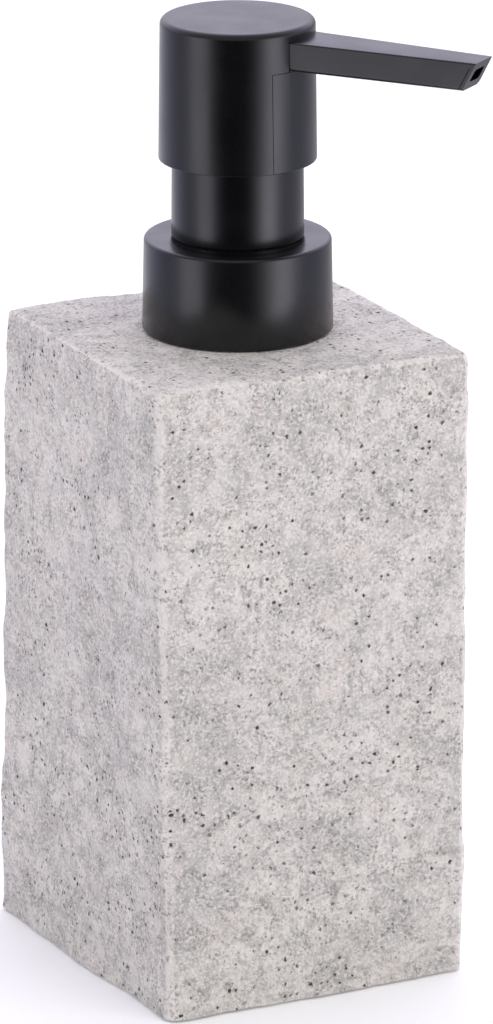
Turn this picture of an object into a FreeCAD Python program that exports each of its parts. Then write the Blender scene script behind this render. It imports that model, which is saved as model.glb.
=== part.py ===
import FreeCAD, Part
import math
import os

from FreeCAD import Vector

# Soap pump dispenser: a cast stone-effect bottle with a screw-on lotion pump.
# Millimetres, +Z up. The pump's axis is the Z axis. The origin is where that axis meets the surface
# that the bottle stands on.

# ---------------------------------------------------------------- driving dimensions
# Bottle, cast polyresin, a little wider at the foot than at the top
body_height = 123.4
top_width = 65.0
top_depth = 65.0
foot_width = 68.0
foot_depth = 70.4
foot_shift_x = -0.5
body_offset_x = -1.0
body_offset_y = -0.5
upright_edge_radius = 4.0
top_edge_radius = 2.0
cavity_edge_radius = 8.0
body_wall = 6.5
body_roof = 9.0

# Closing plate glued into the open foot, and the soft pad under it
plate_ledge = 3.0
plate_thickness = 5.0
pad_recess = 1.0
pad_proud = 0.5

# Threaded neck insert, glued into the bottle's roof
neck_bore_r = 10.75
neck_wall = 1.65
neck_flange_width = 3.1
neck_flange_thickness = 1.5
neck_tail = 1.0
lug_count = 4
lug_width = 3.0
lug_reach = 1.8
lug_height = 4.0

# Thread between the neck and the closure, right-handed
thread_pitch = 4.23
thread_turns = 1.25
thread_depth = 1.25
thread_base_width = 2.0
thread_crest_width = 1.0
thread_edge = 0.085
thread_lead_out = 0.71

# Closure: inner cap, outer cover and the fixed sleeve that the head slides over
cap_wall = 1.6
cap_roof_thickness = 2.0
cap_rib_count = 24
cap_rib_width = 1.4
cap_rib_height = 1.15
cover_wall = 1.03
cover_draft = 0.35
cover_roof_thickness = 1.35
cover_edge_radius = 1.2
cover_gap = 0.3
cap_setback = 0.1
sleeve_wall = 1.22
sleeve_draft = 0.15
sleeve_overlap = 2.6
sleeve_flange_width = 2.0
sleeve_flange_thickness = 1.3
rim_chamfer = 0.35

# Pump body that hangs in the neck
gasket_thickness = 1.0
barrel_bore_r = 7.0
barrel_wall = 1.2
barrel_flange_thickness = 1.6
hub_wall = 1.3
hub_depth = 8.0
hub_standoff = 1.0
plug_wall = 1.4
plug_length = 5.0
plug_taper = 2.4
vent_r = 0.6
guide_flange_width = 0.8
guide_flange_thickness = 1.2
guide_wall = 1.3
guide_web = 2.0
guide_drop = 12.2
cage_thickness = 1.5
cage_spigot_height = 3.0
cage_spigot_wall = 1.4
cage_hole_r = 1.9
cage_slot_count = 4
cage_slot_width = 1.5
inlet_ball_r = 2.5
inlet_ball_lift = 2.0
inlet_chamber_r = 3.3
inlet_bore_r = 1.5
inlet_wall = 1.5
inlet_throat = 2.0
tube_r = 3.0
tube_wall = 1.0
tube_socket_depth = 11.0
tube_floor_gap = 4.0

# Piston, stem and spring
stroke = 14.0
stem_r = 4.0
stem_bore_r = 2.5
shoulder_step = 1.6
shoulder_thickness = 1.8
piston_length = 7.0
piston_lip = 0.8
piston_lip_length = 1.6
piston_skirt_depth = 1.4
seat_flange_step = 1.1
seat_flange_thickness = 1.6
seat_spigot_length = 5.0
seat_boss_height = 1.5
seat_bore_r = 1.1
seat_cone_depth = 1.0
outlet_ball_r = 1.75
outlet_ball_lift = 1.5
ball_stop_length = 3.0
ball_stop_reach = 1.2
ball_stop_width = 0.9
ball_stop_count = 3
wire_r = 0.5
spring_side_gap = 1.5
spring_reserve = 4.5
spring_active_turns = 7.0
spring_end_turns = 1.0
spring_points_per_turn = 16

# Head, with the spout set into a doorway in its skirt
head_slide_gap = 0.53
head_wall = 1.54
head_draft = 0.32
head_clearance = 1.3
head_roof = 1.8
head_edge_radius = 1.2
core_wall = 2.4
core_socket_depth = 9.0
core_length = 18.2
core_rib_width = 2.0
core_rib_height = 6.6
spout_azimuth = -54.0
spout_reach = 51.4
spout_top_drop = 2.25
spout_clearance = 2.6
spout_height = 5.6
spout_root_width = 10.4
spout_tip_width = 6.9
spout_rake = 2.9
spout_wall = 1.0
spout_edge_radius = 1.0
spout_root_gap = 0.6
panel_width = 17.4
nozzle_wall = 0.65
nozzle_rim = 0.6
nozzle_edge_radius = 0.6

# Clearances
glue_gap = 0.15
press_gap = 0.01
running_gap = 0.05
turning_gap = 0.1
lip_gap = 0.03
stop_gap = 0.05
seam_gap = 0.15
slip_gap = 0.1
thread_gap = 0.35
ball_gap = 0.02

# ---------------------------------------------------------------- sizes and levels worked out from these
# Radii of the neck and its thread
neck_outer_r = neck_bore_r + neck_wall
thread_crest_r = neck_outer_r + thread_depth

# Levels of the neck stack, from the bottle's top upwards
cover_low = body_height + cover_gap
cap_low = cover_low + cap_setback
cap_thread_z = cap_low + thread_edge + thread_base_width / 2
neck_thread_z = cap_thread_z + thread_pitch / 2
neck_top = neck_thread_z + thread_pitch * thread_turns + thread_base_width / 2 + thread_lead_out
flange_low = neck_top + gasket_thickness
flange_high = flange_low + barrel_flange_thickness
cap_roof_low = flange_high + stop_gap
cap_roof_high = cap_roof_low + cap_roof_thickness
sleeve_flange_high = cap_roof_high + sleeve_flange_thickness
cover_high = sleeve_flange_high + cover_roof_thickness
hub_high = cap_roof_high + hub_standoff
guide_high = hub_high + guide_flange_thickness
guide_low = guide_high - guide_drop

# Radii of the pump body, the closure and the head, from the axis outwards
barrel_outer_r = barrel_bore_r + barrel_wall
barrel_flange_r = thread_crest_r - thread_gap
plug_r = neck_bore_r - thread_gap
hub_bore_r = plug_r - plug_wall
hub_r = hub_bore_r + hub_wall
guide_flange_r = hub_r + guide_flange_width
cap_thread_crest_r = neck_outer_r + thread_gap
cap_thread_root_r = thread_crest_r + thread_gap
cap_outer_r = cap_thread_root_r + cap_wall
cover_inner_r = cap_outer_r + cap_rib_height
cover_top_r = cover_inner_r + cover_wall
cover_foot_r = cover_top_r + cover_draft
sleeve_bore_r = guide_flange_r + turning_gap
sleeve_top_r = sleeve_bore_r + sleeve_wall
sleeve_foot_r = sleeve_top_r + sleeve_draft
head_bore_r = sleeve_foot_r + head_slide_gap
head_top_r = head_bore_r + head_wall
head_skirt_r = head_top_r + head_draft
core_r = stem_r + core_wall
spring_mean_r = barrel_bore_r - spring_side_gap - wire_r
cage_r = barrel_bore_r - press_gap
cage_spigot_r = spring_mean_r - wire_r - turning_gap
shoulder_r = barrel_bore_r - shoulder_step
seat_flange_r = barrel_bore_r - seat_flange_step

# Levels of the piston stack, from the stem guide downwards
shoulder_high = guide_low - stop_gap
shoulder_low = shoulder_high - shoulder_thickness
piston_high = shoulder_low - stop_gap
piston_low = piston_high - piston_length
seat_flange_high = piston_low - stop_gap
seat_flange_low = seat_flange_high - seat_flange_thickness
spring_high = seat_flange_low - ball_gap
spring_solid_length = 2 * wire_r * (spring_active_turns + 2 * spring_end_turns)
spring_low = spring_high - spring_solid_length - stroke - spring_reserve
cage_high = spring_low - ball_gap
cage_low = cage_high - cage_thickness
seat_top = piston_low + seat_spigot_length

# A ball rests on a 45 degree cone, so its middle is root two of its radius above the cone's point
root_two = math.sqrt(2.0)
outlet_cone_point = seat_top - seat_bore_r - seat_cone_depth
outlet_ball_z = outlet_cone_point + outlet_ball_r * root_two + ball_gap
ball_stop_low = outlet_ball_z + outlet_ball_r + outlet_ball_lift + stop_gap
inlet_ball_z = cage_low - stop_gap - inlet_ball_lift - inlet_ball_r
inlet_cone_point = inlet_ball_z - ball_gap - inlet_ball_r * root_two
inlet_cone_low = inlet_cone_point + inlet_bore_r
inlet_cone_high = inlet_cone_point + inlet_chamber_r
socket_high = inlet_cone_low - inlet_throat
socket_low = socket_high - tube_socket_depth
socket_outer_r = tube_r + inlet_wall
chamber_outer_r = inlet_chamber_r + inlet_wall

# Levels of the head and the spout
head_low = cover_high + stroke + head_clearance
sleeve_high = head_low + sleeve_overlap
spout_low = sleeve_high + stroke + spout_clearance
spout_high = spout_low + spout_height
head_high = spout_high + spout_top_drop
head_ceiling = head_high - head_roof
core_high = head_ceiling - press_gap
core_low = core_high - core_length
socket_ceiling = core_low + core_socket_depth
stem_high = socket_ceiling - stop_gap
spout_root_x = core_r + spout_root_gap

# Foot of the bottle
foot_low = pad_proud
plate_low = foot_low + pad_recess
plate_high = plate_low + plate_thickness
cavity_high = body_height - body_roof
cavity_width = min(foot_width, top_width) - 2 * body_wall
cavity_depth = min(foot_depth, top_depth) - 2 * body_wall
overcut = 5.0


# ---------------------------------------------------------------- shape helpers
def cylinder(radius, low, high):
    """A solid cylinder about the Z axis."""
    return Part.makeCylinder(radius, high - low, Vector(0, 0, low))


def ring(outer_r, inner_r, low, high):
    """A plain tube about the Z axis."""
    return cylinder(outer_r, low, high).cut(cylinder(inner_r, low - overcut, high + overcut))


def turned(profile):
    """The solid that a closed outline of (radius, z) points sweeps about the Z axis."""
    points = [Vector(r, 0, z) for r, z in profile]
    outline = Part.makePolygon(points + points[:1])
    return Part.Face(outline).revolve(Vector(0, 0, 0), Vector(0, 0, 1), 360)


def box(low_corner, high_corner):
    """A box between two corners."""
    size = [high - low for low, high in zip(low_corner, high_corner)]
    return Part.makeBox(size[0], size[1], size[2], Vector(*low_corner))


def prism_along_z(points, low, high):
    """A prism from a closed outline of (x, y) points."""
    corners = [Vector(x, y, low) for x, y in points]
    return Part.Face(Part.makePolygon(corners + corners[:1])).extrude(Vector(0, 0, high - low))


def prism_along_y(points, half_width):
    """A prism from a closed outline of (x, z) points, centred on y = 0."""
    corners = [Vector(x, -half_width, z) for x, z in points]
    return Part.Face(Part.makePolygon(corners + corners[:1])).extrude(Vector(0, 2 * half_width, 0))


def rounded_outline(width, depth, radius, z):
    """A rectangle with rounded corners, centred on the bottle's own middle."""
    half_w = width / 2
    half_d = depth / 2
    middle = Vector(body_offset_x, body_offset_y, z)
    straights = []
    bends = []
    for quarter in range(4):
        angle = math.radians(90 * quarter)
        out_w, out_d = (half_w, half_d) if quarter % 2 == 0 else (half_d, half_w)
        along = Vector(math.cos(angle), math.sin(angle), 0)
        across = Vector(-math.sin(angle), math.cos(angle), 0)
        start = middle + along * out_w - across * (out_d - radius)
        end = middle + along * out_w + across * (out_d - radius)
        bend_middle = end - along * radius + (along + across) * (radius / root_two)
        bend_end = end - along * radius + across * radius
        straights.append(Part.LineSegment(start, end).toShape())
        bends.append(Part.Arc(end, bend_middle, bend_end).toShape())
    edges = [edge for pair in zip(straights, bends) for edge in pair]
    return Part.Wire(edges)


def rounded_block(width, depth, radius, low, high):
    """An upright block with rounded corners, centred on the bottle's own middle."""
    outline = rounded_outline(width, depth, radius, low)
    return Part.Face(outline).extrude(Vector(0, 0, high - low))


def edges_at(shape, z):
    """The edges of a shape that lie flat at one height."""
    near = 1e-4
    return [e for e in shape.Edges if abs(e.BoundBox.ZMin - z) < near and abs(e.BoundBox.ZMax - z) < near]


def widest_edge_at(shape, z):
    """The outermost round edge at one height."""
    return max(edges_at(shape, z), key=lambda edge: edge.BoundBox.XLength)


def turned_about_z(shape, angle):
    """A copy of a shape turned about the Z axis."""
    copy = shape.copy()
    copy.rotate(Vector(0, 0, 0), Vector(0, 0, 1), angle)
    return copy


def repeated_about_z(shape, count, first_angle=0.0):
    """Copies of a shape, evenly spaced about the Z axis."""
    return [turned_about_z(shape, first_angle + 360 * i / count) for i in range(count)]


def thread_ridge(base_r, crest_r, middle_z):
    """One helical ridge, outward or inward. Its section starts centred at middle_z, sunk in the wall."""
    sink = math.copysign(neck_wall / 4, base_r - crest_r)
    half_base = thread_base_width / 2
    half_crest = thread_crest_width / 2
    corners = [
        Vector(base_r + sink, 0, middle_z - half_base),
        Vector(base_r, 0, middle_z - half_base),
        Vector(crest_r, 0, middle_z - half_crest),
        Vector(crest_r, 0, middle_z + half_crest),
        Vector(base_r, 0, middle_z + half_base),
        Vector(base_r + sink, 0, middle_z + half_base),
    ]
    section = Part.makePolygon(corners + corners[:1])
    path = Part.makeHelix(thread_pitch, thread_pitch * thread_turns, base_r)
    path.translate(Vector(0, 0, middle_z))
    return Part.Wire(path.Edges).makePipeShell([section], True, True)


# ---------------------------------------------------------------- bottle
def bottle_body():
    """The cast body: solid stone-effect walls round a straight cavity, open at the neck and at the foot."""
    foot = rounded_outline(foot_width, foot_depth, upright_edge_radius, foot_low)
    foot.translate(Vector(foot_shift_x, 0, 0))
    top = rounded_outline(top_width, top_depth, upright_edge_radius, body_height)
    body = Part.makeLoft([foot, top], True, True)
    body = body.makeFillet(top_edge_radius, edges_at(body, body_height))
    cavity = rounded_block(cavity_width, cavity_depth, cavity_edge_radius, foot_low - overcut, cavity_high)
    plate_seat = rounded_block(
        cavity_width + 2 * plate_ledge,
        cavity_depth + 2 * plate_ledge,
        cavity_edge_radius + plate_ledge,
        foot_low - overcut,
        plate_high,
    )
    neck_hole = cylinder(neck_outer_r + glue_gap, cavity_high - overcut, body_height + overcut)
    flange_seat = cylinder(
        neck_outer_r + neck_flange_width + glue_gap,
        body_height - neck_flange_thickness,
        body_height + overcut,
    )
    body = body.cut(cavity).cut(plate_seat).cut(neck_hole).cut(flange_seat)
    for slot in neck_lugs(glue_gap):
        body = body.cut(slot)
    return body


def base_plate():
    """The resin plate that closes the foot."""
    width = cavity_width + 2 * (plate_ledge - glue_gap)
    depth = cavity_depth + 2 * (plate_ledge - glue_gap)
    radius = cavity_edge_radius + plate_ledge - glue_gap
    return rounded_block(width, depth, radius, plate_low, plate_high)


def base_pad():
    """The foam pad that the dispenser stands on, proud of the foot."""
    width = cavity_width + 2 * (plate_ledge - glue_gap)
    depth = cavity_depth + 2 * (plate_ledge - glue_gap)
    radius = cavity_edge_radius + plate_ledge - glue_gap
    return rounded_block(width, depth, radius, foot_low - pad_proud, plate_low)


def neck_lugs(gap):
    """The lugs under the insert's flange that stop it turning, grown by gap."""
    inner_r = neck_outer_r - neck_wall / 2
    outer_r = neck_outer_r + lug_reach + gap
    half = lug_width / 2 + gap
    high = body_height - neck_flange_thickness / 2
    lug = box((inner_r, -half, body_height - neck_flange_thickness - lug_height - gap), (outer_r, half, high))
    return repeated_about_z(lug, lug_count, 180 / lug_count)


def neck_insert():
    """The moulded neck: a tube with a flange, anti-turn lugs and the outer thread."""
    tube = cylinder(neck_outer_r, cavity_high - neck_tail, neck_top)
    flange = cylinder(neck_outer_r + neck_flange_width, body_height - neck_flange_thickness, body_height)
    insert = tube.fuse(flange)
    for lug in neck_lugs(0.0):
        insert = insert.fuse(lug)
    insert = insert.fuse(thread_ridge(neck_outer_r, thread_crest_r, neck_thread_z))
    return insert.cut(cylinder(neck_bore_r, cavity_high - overcut, neck_top + overcut)).removeSplitter()


# ---------------------------------------------------------------- closure
def closure_cap():
    """The inner screw cap: the thread that meets the neck, and the roof that clamps the pump's flange."""
    cap = cylinder(cap_outer_r, cap_low, cap_roof_high)
    rib = box(
        (cap_outer_r - cap_wall / 2, -cap_rib_width / 2, cap_low),
        (cover_inner_r, cap_rib_width / 2, cap_roof_high),
    )
    for copy in repeated_about_z(rib, cap_rib_count):
        cap = cap.fuse(copy)
    cap = cap.common(cylinder(cover_inner_r - press_gap, cap_low, cap_roof_high))
    cap = cap.cut(cylinder(cap_thread_root_r, cap_low - overcut, cap_roof_low))
    cap = cap.cut(cylinder(hub_r + turning_gap, cap_low, cap_roof_high + overcut))
    ridge = thread_ridge(cap_thread_root_r, cap_thread_crest_r, cap_thread_z)
    return cap.removeSplitter().fuse(ridge)


def collar_cover():
    """The smooth outer collar pressed over the cap."""
    outer = turned([(0, cover_low), (cover_foot_r, cover_low), (cover_top_r, cover_high), (0, cover_high)])
    outer = outer.makeFillet(cover_edge_radius, [widest_edge_at(outer, cover_high)])
    inside = cylinder(cover_inner_r, cover_low - overcut, sleeve_flange_high)
    hole_r = sleeve_foot_r + turning_gap
    hole = cylinder(hole_r, cover_low, cover_high + overcut)
    chamfer = Part.makeCone(hole_r, hole_r + rim_chamfer, rim_chamfer, Vector(0, 0, cover_high - rim_chamfer))
    return outer.cut(inside).cut(hole).cut(chamfer)


def guide_sleeve():
    """The fixed sleeve that the head slides over, held by its flange between the cover and the cap."""
    flange_r = sleeve_foot_r + sleeve_flange_width
    outline = [
        (sleeve_bore_r, cap_roof_high),
        (flange_r, cap_roof_high),
        (flange_r, sleeve_flange_high),
        (sleeve_foot_r, sleeve_flange_high),
        (sleeve_foot_r, cover_high),
        (sleeve_top_r, sleeve_high - rim_chamfer),
        (sleeve_top_r - rim_chamfer, sleeve_high),
        (sleeve_bore_r, sleeve_high),
    ]
    return turned(outline)


# ---------------------------------------------------------------- pump body
def neck_gasket():
    """The flat seal between the neck's rim and the pump's flange."""
    return ring(barrel_flange_r, neck_bore_r + glue_gap, neck_top, flange_low)


def pump_cylinder():
    """The barrel: flange and hub on top, piston bore, ball chamber and the socket for the dip tube."""
    taper_high = flange_low - plug_length
    cone_low = cage_low - (barrel_outer_r - chamber_outer_r)
    outline = [
        (0, socket_low),
        (socket_outer_r, socket_low),
        (socket_outer_r, inlet_cone_low),
        (chamber_outer_r, inlet_cone_low),
        (chamber_outer_r, cone_low),
        (barrel_outer_r, cage_low),
        (barrel_outer_r, taper_high - plug_taper),
        (plug_r, taper_high),
        (plug_r, flange_low),
        (barrel_flange_r, flange_low),
        (barrel_flange_r, flange_high),
        (hub_r, flange_high),
        (hub_r, hub_high),
        (0, hub_high),
    ]
    barrel = turned(outline)
    bores = [
        cylinder(hub_bore_r, hub_high - hub_depth, hub_high + overcut),
        cylinder(barrel_bore_r, cage_low, hub_high),
        cylinder(inlet_chamber_r, inlet_cone_high, hub_high),
        Part.makeCone(0, inlet_chamber_r, inlet_chamber_r, Vector(0, 0, inlet_cone_point)),
        cylinder(inlet_bore_r, socket_high, inlet_cone_high),
        cylinder(tube_r + press_gap, socket_low - overcut, socket_high),
    ]
    for bore in bores:
        barrel = barrel.cut(bore)
    vent_z = (piston_high + piston_low) / 2
    vent = Part.makeCylinder(vent_r, barrel_outer_r + overcut, Vector(0, 0, vent_z), Vector(1, 0, 0))
    return barrel.cut(vent)


def stem_guide():
    """The ring snapped into the hub: it guides the stem, stops the piston and keeps the closure on."""
    outline = [
        (stem_r + running_gap, guide_low),
        (stem_r + guide_wall, guide_low),
        (stem_r + guide_wall, guide_high - guide_web),
        (hub_bore_r - guide_wall, guide_high - guide_web),
        (hub_bore_r - guide_wall, hub_high - hub_depth + stop_gap),
        (hub_bore_r - press_gap, hub_high - hub_depth + stop_gap),
        (hub_bore_r - press_gap, hub_high),
        (guide_flange_r, hub_high),
        (guide_flange_r, guide_high),
        (stem_r + running_gap, guide_high),
    ]
    return turned(outline)


def ball_cage():
    """The slotted disc that the spring stands on. It keeps the inlet ball in its chamber."""
    disc = cylinder(cage_r, cage_low, cage_high)
    spigot = cylinder(cage_spigot_r, cage_low, cage_high + cage_spigot_height)
    cage = disc.fuse(spigot)
    cage = cage.cut(cylinder(cage_hole_r, cage_low - overcut, cage_high + overcut))
    cage = cage.cut(cylinder(cage_spigot_r - cage_spigot_wall, cage_high, cage_high + overcut))
    slot_reach = inlet_chamber_r - cage_slot_width / 4
    half = cage_slot_width / 2
    slot = box((0, -half, cage_low - overcut), (slot_reach, half, cage_high))
    for copy in repeated_about_z(slot, cage_slot_count):
        cage = cage.cut(copy)
    return cage


def dip_tube():
    """The tube that reaches down into the cavity, cut at a slant so that it can't seal on the floor."""
    tube_low = plate_high + tube_floor_gap
    tube = ring(tube_r, tube_r - tube_wall, tube_low, socket_high - stop_gap)
    slant = prism_along_y(
        [
            (-tube_r - overcut, tube_low - 2 * overcut),
            (tube_r + overcut, tube_low - 2 * overcut),
            (tube_r + overcut, tube_low + 2 * tube_r + overcut),
            (-tube_r - overcut, tube_low - overcut),
        ],
        tube_r + overcut,
    )
    return tube.cut(slant)


def inlet_ball():
    """The lower check-valve ball, resting on its cone."""
    return Part.makeSphere(inlet_ball_r, Vector(0, 0, inlet_ball_z))


# ---------------------------------------------------------------- piston, spring and stem
def piston_seal():
    """The soft piston: two thin lips that wipe the barrel and a bore that the stem turns in."""
    lip_r = barrel_bore_r - lip_gap
    body_r = lip_r - piston_lip
    bore_r = stem_r + running_gap
    outline = [
        (bore_r, piston_low),
        (body_r - piston_lip, piston_low),
        (body_r - piston_lip, piston_low + piston_skirt_depth),
        (lip_r - piston_lip / 2, piston_low),
        (lip_r, piston_low),
        (lip_r, piston_low + piston_lip_length),
        (body_r, piston_low + 2 * piston_lip_length),
        (body_r, piston_high - 2 * piston_lip_length),
        (lip_r, piston_high - piston_lip_length),
        (lip_r, piston_high),
        (lip_r - piston_lip / 2, piston_high),
        (body_r - piston_lip, piston_high - piston_skirt_depth),
        (body_r - piston_lip, piston_high),
        (bore_r, piston_high),
    ]
    return turned(outline)


def return_spring():
    """The compression spring, with a closed turn at each end."""
    total_turns = spring_active_turns + 2 * spring_end_turns
    end_rise = 2 * wire_r * spring_end_turns * (1 + press_gap)
    run = spring_high - spring_low - 2 * wire_r
    active_pitch = (run - 2 * end_rise) / spring_active_turns
    steps = int(total_turns * spring_points_per_turn)
    points = []
    for i in range(steps + 1):
        turn = total_turns * i / steps
        if turn <= spring_end_turns:
            rise = end_rise * turn / spring_end_turns
        elif turn <= spring_end_turns + spring_active_turns:
            rise = end_rise + active_pitch * (turn - spring_end_turns)
        else:
            rise = run - end_rise * (total_turns - turn) / spring_end_turns
        angle = 2 * math.pi * turn
        x = spring_mean_r * math.cos(angle)
        y = spring_mean_r * math.sin(angle)
        points.append(Vector(x, y, spring_low + wire_r + rise))
    curve = Part.BSplineCurve()
    curve.interpolate(points)
    path = Part.Wire([curve.toShape()])
    section = Part.Wire([Part.Circle(points[0], curve.tangent(0)[0], wire_r).toShape()])
    return path.makePipeShell([section], True, True)


def piston_stem():
    """The hollow stem from the head down through the guide, with the shoulder that pushes the piston."""
    stem = cylinder(stem_r, piston_low, stem_high)
    stem = stem.fuse(cylinder(shoulder_r, shoulder_low, shoulder_high))
    stem = stem.cut(cylinder(stem_bore_r, piston_low - overcut, stem_high + overcut))
    half = ball_stop_width / 2
    stop = box(
        (stem_bore_r - ball_stop_reach, -half, ball_stop_low),
        (stem_bore_r + ball_stop_width / 2, half, ball_stop_low + ball_stop_length),
    )
    for copy in repeated_about_z(stop, ball_stop_count):
        stem = stem.fuse(copy)
    return stem.removeSplitter()


def outlet_valve_seat():
    """The plug pressed into the stem's foot: a flange under the piston, and the outlet ball's cone."""
    outline = [
        (seat_bore_r, seat_flange_low - seat_boss_height),
        (cage_spigot_r - seat_cone_depth, seat_flange_low - seat_boss_height),
        (cage_spigot_r, seat_flange_low),
        (seat_flange_r, seat_flange_low),
        (seat_flange_r, seat_flange_high),
        (stem_bore_r - press_gap, seat_flange_high),
        (stem_bore_r - press_gap, seat_top),
        (seat_bore_r + seat_cone_depth, seat_top),
        (seat_bore_r, seat_top - seat_cone_depth),
    ]
    return turned(outline)


def outlet_ball():
    """The upper check-valve ball, resting on its cone in the stem."""
    return Part.makeSphere(outlet_ball_r, Vector(0, 0, outlet_ball_z))


# ---------------------------------------------------------------- head and spout, drawn along +X, then turned
def spout_half_width(x, inset):
    """Half the spout's width at a distance from the axis, less an inset."""
    taper = (spout_root_width - spout_tip_width) / 2 / (spout_reach - head_top_r)
    return spout_root_width / 2 - taper * (x - head_top_r) - inset


def spout_block(inset, root_x, set_back=0.0):
    """The spout's outer shape less an inset on its sides, top and bottom, with its raked end set back."""
    low = spout_low + inset
    high = spout_high - inset
    rake = spout_rake / spout_height
    tip_high = spout_reach - set_back - rake * (spout_high - high)
    tip_low = spout_reach - set_back - rake * (spout_high - low)
    plan = [
        (root_x, -spout_half_width(root_x, inset)),
        (spout_reach, -spout_half_width(spout_reach, inset)),
        (spout_reach, spout_half_width(spout_reach, inset)),
        (root_x, spout_half_width(root_x, inset)),
    ]
    side = [(root_x, low), (tip_low, low), (tip_high, high), (root_x, high)]
    return prism_along_z(plan, low, high).common(prism_along_y(side, spout_root_width))


def long_edges(shape, low, high):
    """The edges that run along the spout between two heights."""
    def runs_along(edge):
        size = edge.BoundBox
        return size.XLength > spout_reach / 2 and low <= size.ZMin and size.ZMax <= high
    return [edge for edge in shape.Edges if runs_along(edge)]


def spout_end_slab(front, back, high):
    """The slanted slab of the spout's end between two distances behind its end face, up to a height."""
    rake = spout_rake / spout_height
    low = spout_low - overcut
    tip_high = spout_reach - rake * (spout_high - high)
    tip_low = spout_reach - rake * (spout_high - low)
    side = [(tip_low - back, low), (tip_low - front, low), (tip_high - front, high), (tip_high - back, high)]
    return prism_along_y(side, spout_root_width)


def head_outer():
    """The head's outer form: a slightly tapered drum with a rounded top edge."""
    drum = turned([(0, head_low), (head_skirt_r, head_low), (head_top_r, head_high), (0, head_high)])
    return drum.makeFillet(head_edge_radius, [widest_edge_at(drum, head_high)])


def doorway(gap):
    """The space of the spout's panel in the skirt, grown by gap at its sides and top."""
    half = panel_width / 2 + gap
    return box((0, -half, head_low - overcut), (head_skirt_r + overcut, half, spout_low + gap))


def head_shell():
    """The drum that the hand presses, with a doorway for the spout's panel and a window for its arm."""
    shell = head_outer().cut(cylinder(head_bore_r, head_low - overcut, head_ceiling))
    half = spout_half_width(head_bore_r, 0.0) + slip_gap
    window = box((0, -half, spout_low - overcut), (head_skirt_r + overcut, half, spout_high + press_gap))
    shell = shell.cut(doorway(0.0)).cut(window)
    return turned_about_z(shell, spout_azimuth)


def head_core():
    """The inner joint: a socket on the stem, a passage up, and a pocket for the nozzle tube."""
    core = cylinder(core_r, core_low, core_high)
    rib = box(
        (core_r / 2, -core_rib_width / 2, core_high - core_rib_height),
        (head_bore_r - running_gap, core_rib_width / 2, core_high),
    )
    for quarter in range(1, 4):
        core = core.fuse(turned_about_z(rib, 90 * quarter))
    core = core.common(cylinder(head_bore_r - running_gap, core_low, core_high))
    core = core.cut(cylinder(stem_r + press_gap, core_low - overcut, socket_ceiling))
    core = core.cut(cylinder(stem_bore_r, core_low, (spout_low + spout_high) / 2))
    pocket = spout_block(spout_wall + slip_gap - press_gap, stem_bore_r)
    return turned_about_z(core.cut(pocket).removeSplitter(), spout_azimuth)


def spout():
    """The spout moulding: a hollow arm, and the curved panel below it that fills the doorway."""
    arm = spout_block(0.0, spout_root_x)
    arm = arm.makeFillet(spout_edge_radius, long_edges(arm, spout_low - stop_gap, spout_low + stop_gap))
    hollow = spout_block(spout_wall, spout_root_x - overcut, -overcut)
    end_space = spout_end_slab(-overcut, nozzle_rim + press_gap, spout_high - spout_wall)
    arm = arm.cut(hollow).cut(end_space)
    panel = head_outer().cut(cylinder(head_bore_r, head_low - overcut, head_high))
    panel = panel.common(doorway(-seam_gap))
    bridge_half = spout_half_width(head_skirt_r, spout_edge_radius)
    bridge = box((head_bore_r, -bridge_half, spout_low - 2 * seam_gap), (head_top_r, bridge_half, spout_low))
    bridge = bridge.common(head_outer())
    bridge = bridge.cut(cylinder(head_bore_r, head_low, head_high))
    moulding = arm.fuse(bridge).fuse(panel).removeSplitter()
    return turned_about_z(moulding, spout_azimuth)


def spout_nozzle():
    """The inner tube of the spout, whose rim closes the end of the arm at the sides and below."""
    inset = spout_wall + slip_gap
    tube = spout_block(inset, stem_bore_r + stop_gap)
    outer = spout_block(0.0, spout_root_x)
    outer = outer.makeFillet(spout_edge_radius, long_edges(outer, spout_low - stop_gap, spout_low + stop_gap))
    rim = outer.common(spout_end_slab(-overcut, nozzle_rim, spout_high - spout_wall - press_gap))
    bore = spout_block(inset + nozzle_wall, 0.0, -overcut)
    bore = bore.makeFillet(nozzle_edge_radius, long_edges(bore, spout_low, spout_high))
    return turned_about_z(tube.fuse(rim).removeSplitter().cut(bore), spout_azimuth)


# ---------------------------------------------------------------- every node, by name
nodes = {
    "bottle_body": bottle_body,
    "base_plate": base_plate,
    "base_pad": base_pad,
    "neck_insert": neck_insert,
    "neck_gasket": neck_gasket,
    "pump_cylinder": pump_cylinder,
    "stem_guide": stem_guide,
    "ball_cage": ball_cage,
    "inlet_ball": inlet_ball,
    "dip_tube": dip_tube,
    "closure_cap": closure_cap,
    "collar_cover": collar_cover,
    "guide_sleeve": guide_sleeve,
    "piston_seal": piston_seal,
    "return_spring": return_spring,
    "piston_stem": piston_stem,
    "outlet_valve_seat": outlet_valve_seat,
    "outlet_ball": outlet_ball,
    "head_shell": head_shell,
    "head_core": head_core,
    "spout": spout,
    "spout_nozzle": spout_nozzle,
}

os.makedirs("parts", exist_ok=True)
for name, make in nodes.items():
    shape = make()
    size = shape.BoundBox
    print(
        f"{name:18s} solids {len(shape.Solids)} valid {shape.isValid()} volume {shape.Volume:10.2f}"
        f"  z {size.ZMin:8.3f} to {size.ZMax:8.3f}"
    )
    if len(shape.Solids) != 1 or not shape.isValid():
        raise ValueError(f"{name} isn't one valid solid")
    shape.Solids[0].exportStep(f"parts/{name}.step")
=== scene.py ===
"""Soap pump dispenser: a stone-effect bottle with a black screw-on lotion pump, modelled round its frame."""

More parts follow.
